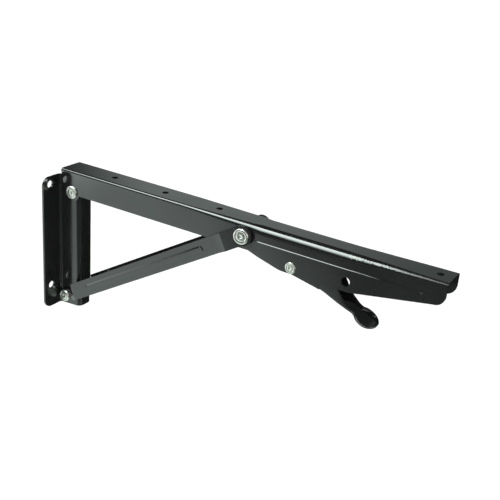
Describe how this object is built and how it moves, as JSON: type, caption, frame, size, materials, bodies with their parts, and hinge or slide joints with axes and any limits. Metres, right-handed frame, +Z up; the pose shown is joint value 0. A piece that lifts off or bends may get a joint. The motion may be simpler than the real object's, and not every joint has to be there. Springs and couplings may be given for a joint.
{
  "type": "drop leaf table bracket",
  "caption": "Wall bracket for a drop leaf: channel arm held level by a folding strut, with a lever under the arm that releases it so the arm folds down along the wall.",
  "frame": {"origin": "centre of the four wall screw holes, on the back face of the wall plate", "axes": "+X out of the wall along the raised arm, +Y sideways along the wall, +Z up"},
  "size_m": [0.398, 0.068, 0.1466],
  "materials": {
    "black_coating": "gloss black baked coating over steel sheet",
    "plated_steel": "bright zinc plating",
    "washer_steel": "plain plated steel",
    "spring_steel": "bare spring wire"
  },
  "bodies": {
    "wall_plate": {"wall_plate": "black_coating", "arm_pivot_rivet": "plated_steel", "arm_washer_near": "washer_steel", "arm_washer_far": "washer_steel", "strut_pivot_rivet": "plated_steel", "strut_pivot_sleeve": "plated_steel", "strut_washer_near": "washer_steel", "strut_washer_far": "washer_steel"},
    "arm": {"arm": "black_coating", "lock_pin": "plated_steel", "lever_pivot_rivet": "plated_steel", "lever_spacer": "plated_steel", "lever_washer_near": "washer_steel", "lever_washer_far": "washer_steel"},
    "strut": {"strut": "black_coating", "strut_end_rivet_near": "plated_steel", "strut_end_rivet_far": "plated_steel"},
    "release_lever": {"release_lever": "black_coating", "lever_spring": "spring_steel"}
  },
  "joints": [
    {"name": "arm_fold", "type": "hinge", "parent": "wall_plate", "child": "arm", "pos_m": [0.02, 0, 0.0474], "axis": [0, 1, 0], "range_deg": [0, 85]},
    {"name": "strut_swing", "type": "hinge", "parent": "wall_plate", "child": "strut", "pos_m": [0.0102, 0, -0.0673], "axis": [0, 1, 0], "range_deg": [0, 121.35]},
    {"name": "lever_press", "type": "hinge", "parent": "arm", "child": "release_lever", "pos_m": [0.2642, 0, 0.0418], "axis": [0, -1, 0], "range_deg": [0, 15], "stiffness_Nm_per_rad": 0.15, "springref_deg": -20.05}
  ],
  "couplings": [
    {"joint": "strut_swing", "follows": "arm_fold", "ratio": 1.4276}
  ]
}
